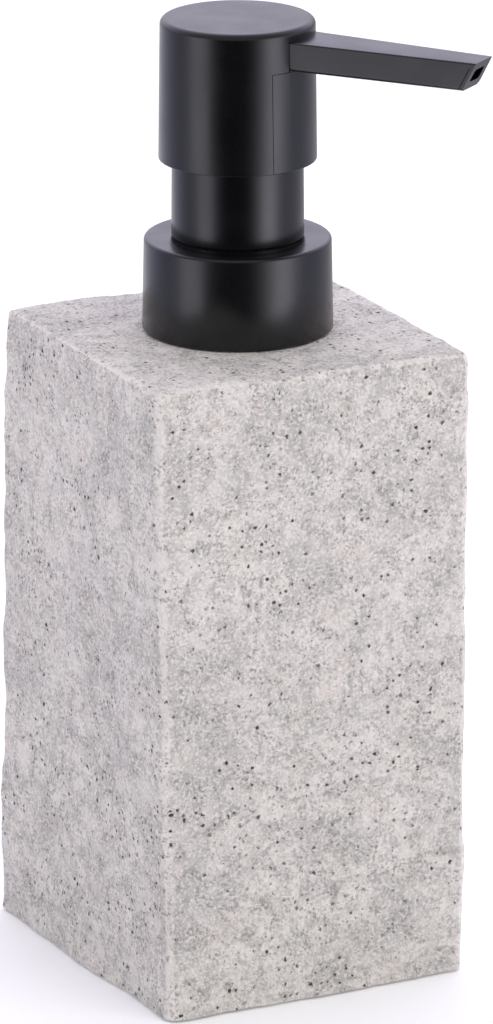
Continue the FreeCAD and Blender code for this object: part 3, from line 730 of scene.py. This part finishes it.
class DISPENSER_OT_foot_pad(bpy.types.Operator):
    """Models the die-cut foam pad under the foot, with its softened rim"""

    bl_idname = "dispenser.foot_pad"
    bl_label = "Foot pad"

    def execute(self, context):
        settings = context.scene.dispenser_bottle
        low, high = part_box("base_pad")
        corner, rim_width = 10.85 * MM, 1.2 * MM
        slope_width, dip = 1.0 * MM, 0.08 * MM
        pad = rounded_block("foam_foot_pad", low, high, corner, 14)
        open_mesh(pad)
        pick("EDGE", lambda edge: not is_upright(edge))
        bevel_picked(settings.pad_edge, 4)
        pick("FACE", lambda face: abs(face.normal.z) > 0.99)
        bpy.ops.mesh.inset(thickness=rim_width)
        bpy.ops.mesh.inset(thickness=slope_width, depth=-dip)
        close_mesh()
        finish_piece(pad, "bottle", "foam_pad", "base_pad")
        return {"FINISHED"}


# ---- closure
class DISPENSER_OT_collar(bpy.types.Operator):
    """Models the smooth collar that hides the screw cap, and the guide sleeve that stands in it"""

    bl_idname = "dispenser.collar"
    bl_label = "Collar and sleeve"

    def execute(self, context):
        pump = context.scene.dispenser_pump
        low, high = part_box("collar_cover")
        flange_low, sleeve_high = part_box("guide_sleeve")
        foot_r = high.x
        top_r = foot_r - pump.cover_draft
        inner_r = top_r - pump.cover_wall
        small = pump.break_edge
        clearance = 0.1 * MM
        lip = 0.35 * MM
        sleeve_foot_r = sleeve_high.x - pump.sleeve_flange
        hole_r = sleeve_foot_r - pump.sleeve_foot + clearance
        ceiling = high.z - pump.cover_roof
        outline = arc(foot_r - small, low.z + small, small, -90, 0, 3)
        outline += arc(top_r - pump.cover_edge, high.z - pump.cover_edge, pump.cover_edge, 0, 90, 10)
        outline += arc(hole_r + small, high.z - small, small, 90, 180, 3)
        outline += [(hole_r, ceiling), (inner_r, ceiling)]
        outline += arc(inner_r + small / 2, low.z + small / 2, small / 2, 180, 270, 2)
        collar = turned("screw_collar", outline, pump.segments, closed=True)
        finish_piece(collar, "closure", "black_plastic", "collar_cover")
        sleeve_top_r = sleeve_foot_r - pump.sleeve_draft
        bore_r = sleeve_top_r - pump.sleeve_wall
        flange_high = flange_low.z + pump.sleeve_flange_height
        outline = [(bore_r, flange_low.z), (sleeve_high.x, flange_low.z), (sleeve_high.x, flange_high)]
        foot = pump.sleeve_foot
        outline += [(sleeve_foot_r - foot, flange_high)]
        outline += arc(sleeve_foot_r - foot, high.z + small + foot, foot, -90, 0, 6)
        outline += arc(sleeve_top_r - lip, sleeve_high.z - lip, lip, 0, 90, 5)
        outline += arc(bore_r + small, sleeve_high.z - small, small, 90, 180, 3)
        sleeve = turned("guide_tube", outline, pump.segments, closed=True)
        finish_piece(sleeve, "closure", "black_plastic", "guide_sleeve")
        return {"FINISHED"}


# ---- head and spout
def head_places(pump, spout):
    """The head's box, the radii of its top and its bore, and the levels of the arm's floor and top."""
    low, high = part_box("head_shell")
    top_r = high.x - pump.head_draft
    arm_high = high.z - spout.top_drop
    return low, high, top_r, top_r - pump.head_wall, arm_high - spout.height, arm_high


def head_blank(name, pump, spout):
    """The head before its openings: turned from its ceiling, down the bore and up the skirt, to its top."""
    low, high, top_r, bore_r, _, _ = head_places(pump, spout)
    small, edge = pump.break_edge, pump.head_edge
    disc_r = 0.5 * MM
    ceiling = high.z - pump.head_roof
    outline = [(disc_r, ceiling), (bore_r, ceiling)]
    outline += arc(bore_r + small, low.z + small, small, 180, 270, 3)
    outline += arc(high.x - small, low.z + small, small, -90, 0, 3)
    outline += arc(top_r - edge, high.z - edge, edge, 0, 90, 12)
    return turned(name, outline + [(disc_r, high.z)], pump.segments, closed=False)


def spout_half_width(spout, head_top_r, x):
    """Half the arm's width at a distance from the pump's axis."""
    taper = (spout.root_width - spout.tip_width) / 2 / (spout.reach - head_top_r)
    return spout.root_width / 2 - taper * (x - head_top_r)


def spout_blank(name, spout, head_top_r, low_z, inset, root_x, raked=True):
    """The arm's tapered form along +X, less an inset all round, ending at the rake or a little past it."""
    high_z = low_z + spout.height
    far_x = spout.reach + SPARE
    mid_z = (low_z + high_z) / 2
    near_half = spout_half_width(spout, head_top_r, root_x) - inset
    far_half = spout_half_width(spout, head_top_r, far_x) - inset
    blank = block(name, (root_x, -near_half, low_z + inset), (far_x, near_half, high_z - inset))
    open_mesh(blank)
    pick("FACE", lambda face: face.normal.x > 0.9)
    bpy.ops.transform.resize(value=(1, far_half / near_half, 1), center_override=(far_x, 0, mid_z))
    close_mesh()
    if raked:
        slice_off(blank, (spout.reach, 0, high_z), spout_end_normal(spout))
    return blank


def spout_end_normal(spout):
    """The direction that the raked end of the spout faces."""
    return Vector((spout.height, 0, -spout.rake)).normalized()


def round_long_edges(blank, mid_z, lower, upper):
    """Rounds the lower and upper edges that run along the arm."""
    open_mesh(blank)
    for side, radius in ((-1, lower), (1, upper)):
        if radius:
            pick("EDGE", lambda edge: is_lengthwise(edge) and (middle(edge).z - mid_z) * side > 0)
            bevel_picked(radius, 6)
    close_mesh()


class DISPENSER_OT_head(bpy.types.Operator):
    """Models the head that the hand presses, with openings for the spout's panel and its arm"""

    bl_idname = "dispenser.head"
    bl_label = "Head"

    def execute(self, context):
        pump = context.scene.dispenser_pump
        spout = context.scene.dispenser_spout
        low, high, top_r, bore_r, arm_low, arm_high = head_places(pump, spout)
        shell = head_blank("press_head", pump, spout)
        half = spout.panel_width / 2
        doorway = block("doorway", (bore_r / 2, -half, low.z - SPARE), (high.x + SPARE, half, arm_low))
        half = spout_half_width(spout, top_r, bore_r) + spout.window_gap
        window = block("window", (bore_r / 2, -half, arm_low - SPARE), (high.x + SPARE, half, arm_high))
        combine(shell, "DIFFERENCE", doorway, window)
        turn_to(shell, spout.azimuth)
        finish_piece(shell, "head", "black_plastic", "head_shell")
        return {"FINISHED"}


class DISPENSER_OT_spout(bpy.types.Operator):
    """Models the hollow spout with the panel that fills the doorway, and the nozzle tube in its end"""

    bl_idname = "dispenser.spout"
    bl_label = "Spout and nozzle"

    def execute(self, context):
        pump = context.scene.dispenser_pump
        spout = context.scene.dispenser_spout
        top_r, bore_r, arm_low = head_places(pump, spout)[2:5]
        arm = self.arm(spout, top_r, arm_low)
        panel = self.panel(pump, spout)
        side_inset, bore_inset, skirt_inset = 0.05 * MM, 0.4 * MM, 0.7 * MM
        half = spout.root_width / 2 - side_inset
        bridge = block(
            "bridge", (bore_r + bore_inset, -half, arm_low - 2 * spout.seam),
            (top_r - skirt_inset, half, arm_low + 0.95 * spout.lower_edge),
        )
        combine(arm, "UNION", bridge, panel)
        turn_to(arm, spout.azimuth)
        finish_piece(arm, "head", "black_plastic", "spout")
        nozzle = self.nozzle(spout, top_r, arm_low)
        turn_to(nozzle, spout.azimuth)
        finish_piece(nozzle, "head", "black_plastic", "spout_nozzle")
        return {"FINISHED"}

    @staticmethod
    def arm(spout, top_r, arm_low):
        """The arm: open at its raked end, its sides and floor cut short there for the nozzle's rim."""
        mid_z = arm_low + spout.height / 2
        arm = spout_blank("spout_arm", spout, top_r, arm_low, 0.0, spout.root)
        round_long_edges(arm, mid_z, spout.lower_edge, spout.upper_edge)
        hollow = spout_blank("hollow", spout, top_r, arm_low, spout.wall, spout.root - SPARE, raked=False)
        roof = arm_low + spout.height - spout.wall
        end = block(
            "end_space", (spout.reach - 2 * SPARE, -spout.root_width, arm_low - SPARE),
            (spout.reach + SPARE, spout.root_width, roof),
        )
        back = spout.reach - (spout.rim + spout.rim_seam) / spout_end_normal(spout).x
        slice_off(end, (back, 0, arm_low + spout.height), -spout_end_normal(spout))
        return combine(arm, "DIFFERENCE", hollow, end)

    @staticmethod
    def panel(pump, spout):
        """The curved panel below the arm: a slice of the head's own skirt, less the seam round it."""
        low, high, _, bore_r, arm_low, _ = head_places(pump, spout)
        half = spout.panel_width / 2 - spout.seam
        skirt = head_blank("panel", pump, spout)
        wedge = block(
            "wedge", (bore_r / 2, -half, low.z - SPARE), (high.x + SPARE, half, arm_low - spout.seam)
        )
        return combine(skirt, "INTERSECT", wedge)

    @staticmethod
    def nozzle(spout, top_r, arm_low):
        """The tube inside the arm, and the rim that closes the arm's end at the sides and below."""
        high_z = arm_low + spout.height
        mid_z = arm_low + spout.height / 2
        inset = spout.wall + spout.tube_gap
        tube = spout_blank("nozzle_tube", spout, top_r, arm_low, inset, spout.pocket)
        rim = spout_blank("rim", spout, top_r, arm_low, 0.0, spout.root)
        round_long_edges(rim, mid_z, spout.lower_edge, 0.0)
        back = spout.reach - spout.rim / spout_end_normal(spout).x
        slice_off(rim, (back, 0, high_z), -spout_end_normal(spout))
        under_roof = 0.01 * MM
        slice_off(rim, (0, 0, high_z - spout.wall - under_roof), UP)
        combine(tube, "UNION", rim)
        inset += spout.tube_wall
        bore = spout_blank("bore", spout, top_r, arm_low, inset, spout.pocket - SPARE, raked=False)
        round_long_edges(bore, mid_z, spout.mouth_edge, spout.mouth_edge)
        return combine(tube, "DIFFERENCE", bore)


# ---- spring
class DISPENSER_OT_spring(bpy.types.Operator):
    """Winds the return spring, with a closed turn at each end"""

    bl_idname = "dispenser.spring"
    bl_label = "Return spring"

    def execute(self, context):
        spring = context.scene.dispenser_spring
        cage_rim, seat_lip, play = 3.0 * MM, 1.5 * MM, 0.02 * MM
        cage_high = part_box("ball_cage")[1].z - cage_rim
        seat_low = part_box("outlet_valve_seat")[0].z + seat_lip
        start = cage_high + spring.wire + play
        run = seat_low - cage_high - 2 * spring.wire - 2 * play
        end_rise = 2.02 * spring.wire  # a closed turn all but touches the next
        turns = spring.active_turns + 2
        steps = turns * spring.turn_points
        coil = bpy.data.curves.new("wound_spring", "CURVE")
        coil.dimensions = "3D"
        coil.bevel_depth = spring.wire
        coil.bevel_resolution = 3
        coil.use_fill_caps = True
        line = coil.splines.new("NURBS")
        line.points.add(steps)
        for i, point in enumerate(line.points):
            turn = turns * i / steps
            open_turn = min(max(turn - 1, 0), spring.active_turns)
            rise = end_rise * min(turn, 1) + (run - 2 * end_rise) * open_turn / spring.active_turns
            rise += end_rise * max(turn - 1 - spring.active_turns, 0)
            angle = 2 * math.pi * turn
            point.co = (spring.mean * math.cos(angle), spring.mean * math.sin(angle), start + rise, 1)
        line.order_u = 3
        line.use_endpoint_u = True
        piece = bpy.data.objects.new("wound_spring", coil)
        context.scene.collection.objects.link(piece)
        activate(piece)
        bpy.ops.object.convert(target="MESH")
        piece = context.object
        open_mesh(piece)
        bpy.ops.mesh.remove_doubles(threshold=SEAM_MERGE)
        bpy.ops.mesh.normals_make_consistent(inside=False)
        close_mesh()
        finish_piece(piece, "pump_body", "spring_steel", "return_spring")
        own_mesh(piece)
        return {"FINISHED"}


# ---- stage
def outward(azimuth, elevation):
    """The direction to a place round and above the object. Azimuth 0 is its front."""
    flat = math.cos(elevation)
    return Vector((math.sin(azimuth) * flat, -math.cos(azimuth) * flat, math.sin(elevation)))


class DISPENSER_OT_stage(bpy.types.Operator):
    """Sets the plain pale floor, the soft studio light and the camera"""

    bl_idname = "dispenser.stage"
    bl_label = "Stage"

    def execute(self, context):
        stage = context.scene.dispenser_stage
        self.lay_floor(stage)
        self.light_room(context.scene, stage)
        self.hang_lights(context.scene)
        self.set_camera(context.scene, stage)
        context.scene.view_settings.view_transform = "Standard"
        return {"FINISHED"}

    @staticmethod
    def lay_floor(stage):
        """A large pale floor. The glossy parts reflect the room instead of it."""
        bpy.ops.mesh.primitive_plane_add(size=stage.floor_size)
        floor = settle(bpy.context.object, "floor")
        floor.visible_glossy = False
        paper = Surface("floor_paper")
        fibre = paper.noise(3 * MM, 4.0)
        tone = paper.mix(paper.math("MULTIPLY", fibre, 0.02), stage.floor, (0.9, 0.9, 0.9))
        glow = (1.0, 0.99, 0.95, 1.0)
        paper.feed(Base_Color=tone, Roughness=0.9, Specular_IOR_Level=0.1)
        paper.feed(Emission_Color=glow, Emission_Strength=0.10)
        floor.data.materials.append(paper.material)

    @staticmethod
    def light_room(scene, stage):
        """The room in the gloss: dark round the camera, two soft upright bands, and a bright far side."""
        world = bpy.data.worlds.new("studio")
        scene.world = world
        world.use_nodes = True
        room = Nodes(world.node_tree)
        way = room.add("TexCoord").outputs["Generated"]
        towards = outward(stage.azimuth, 0)
        beside = Vector((-towards.y, towards.x, 0))
        ahead = room.vector("DOT_PRODUCT", way, towards)["Value"]
        aside = room.vector("DOT_PRODUCT", way, beside)["Value"]
        share = room.steps(room.math("ARCTAN2", aside, ahead), -math.pi, math.pi, kind="LINEAR")
        ring = room.add("ValToRGB", {0: share})
        bands = (  # degrees round from the camera, and the light there
            (-180, 0.90, 0.90, 0.94), (-168, 1.06, 1.06, 1.10), (-150, 0.95, 0.95, 1.08),
            (-130, 0.80, 0.81, 1.02), (-110, 0.64, 0.66, 0.87), (-95, 0.58, 0.58, 0.77),
            (-80, 0.86, 0.84, 1.02), (-65, 2.05, 2.00, 2.26), (-50, 2.00, 1.96, 2.20),
            (-36, 0.28, 0.28, 0.34), (-22, 0.02, 0.02, 0.02), (12, 0.02, 0.02, 0.02),
            (25, 0.22, 0.22, 0.24), (36, 1.10, 1.08, 1.18), (46, 2.60, 2.55, 2.80),
            (55, 3.40, 3.35, 3.70), (65, 2.80, 2.70, 3.15), (76, 1.35, 1.32, 1.60),
            (90, 0.72, 0.74, 0.92), (110, 0.62, 0.61, 0.78), (130, 0.60, 0.59, 0.70),
            (150, 0.60, 0.59, 0.66), (170, 0.60, 0.60, 0.63), (180, 0.85, 0.85, 0.90),
        )
        ring.color_ramp.interpolation = "EASE"
        points = ring.color_ramp.elements
        points.remove(points[-1])
        for degrees, *shade in bands:
            point = points[0] if degrees == bands[0][0] else points.new((degrees + 180) / 360)
            point.color = (*shade, 1)
        height = room.add("SeparateXYZ", {0: way}).outputs[2]
        behind = room.steps(ahead, 0.2, -0.8, kind="LINEAR")
        sky = room.mix(behind, (0.55, 0.55, 0.60), (1.53, 1.45, 1.84))
        light = room.mix(room.steps(height, 0.05, 0.35), ring.outputs[0], sky)
        lit = room.add("Background", {"Color": light, "Strength": 1.0})
        seen = room.add("Background", {"Color": (1, 1, 1, 1), "Strength": 1.0})
        direct = room.add("LightPath").outputs["Is Camera Ray"]
        both = room.add("MixShader", {0: direct, 1: lit.outputs[0], 2: seen.outputs[0]})
        room.add("OutputWorld", {"Surface": both.outputs[0]})

    @staticmethod
    def hang_lights(scene):
        """Large soft lights that model the stone. They don't show in the gloss."""
        centre = Vector((0, 0, 0.08))
        lamp_size = 0.9
        for name, azimuth, elevation, distance, power, tint in (
            ("key_light", 20, 48, 1.1, 3.6, (1.0, 0.98, 0.94)),
            ("fill_light", -95, 30, 1.2, 0.9, (1.0, 0.985, 0.96)),
            ("back_light", 160, 50, 1.2, 2.0, (1.0, 1.0, 1.0)),
        ):
            lamp = bpy.data.lights.new(name, "AREA")
            lamp.shape = "DISK"
            lamp.size = lamp_size
            lamp.energy = power
            lamp.color = tint
            light = bpy.data.objects.new(name, lamp)
            scene.collection.objects.link(light)
            away = outward(math.radians(azimuth), math.radians(elevation))
            light.location = centre + away * distance
            light.rotation_euler = away.to_track_quat("Z", "Y").to_euler()
            light.visible_glossy = False
            light.visible_camera = False

    @staticmethod
    def set_camera(scene, stage):
        """The camera, with no shift and no depth of field."""
        away = outward(stage.azimuth, stage.elevation)
        data = bpy.data.cameras.new("camera")
        data.lens = stage.lens
        data.sensor_width = 36
        data.clip_end = 100
        camera = bpy.data.objects.new("camera", data)
        scene.collection.objects.link(camera)
        camera.location = Vector(stage.aim) + away * stage.distance
        camera.rotation_euler = away.to_track_quat("Z", "Y").to_euler()
        scene.camera = camera


# ---- panel and registration
class DISPENSER_PT_panel(bpy.types.Panel):
    """The sidebar panel that lists the pieces"""

    bl_idname = "DISPENSER_PT_panel"
    bl_label = "Soap pump dispenser"
    bl_space_type = "VIEW_3D"
    bl_region_type = "UI"
    bl_category = "Dispenser"

    def draw(self, context):
        for step in STEPS:
            self.layout.operator(step.bl_idname)


GROUPS = {
    "dispenser_bottle": BottleSettings,
    "dispenser_pump": PumpSettings,
    "dispenser_spout": SpoutSettings,
    "dispenser_spring": SpringSettings,
    "dispenser_stage": StageSettings,
}
STEPS = (
    DISPENSER_OT_finishes,
    DISPENSER_OT_bottle,
    DISPENSER_OT_foot_pad,
    DISPENSER_OT_collar,
    DISPENSER_OT_head,
    DISPENSER_OT_spout,
    DISPENSER_OT_spring,
    DISPENSER_OT_stage,
)


def register():
    """Registers the settings, the steps and the panel."""
    for name, group in GROUPS.items():
        bpy.utils.register_class(group)
        setattr(bpy.types.Scene, name, PointerProperty(type=group))
    for each in (*STEPS, DISPENSER_PT_panel):
        bpy.utils.register_class(each)


def unregister():
    """Takes them away again."""
    for each in (DISPENSER_PT_panel, *reversed(STEPS)):
        bpy.utils.unregister_class(each)
    for name, group in GROUPS.items():
        delattr(bpy.types.Scene, name)
        bpy.utils.unregister_class(group)


def main():
    """Builds every piece and the stage."""
    register()
    for step in STEPS:
        group, name = step.bl_idname.split(".")
        getattr(getattr(bpy.ops, group), name)()


if __name__ == "__main__":
    main()
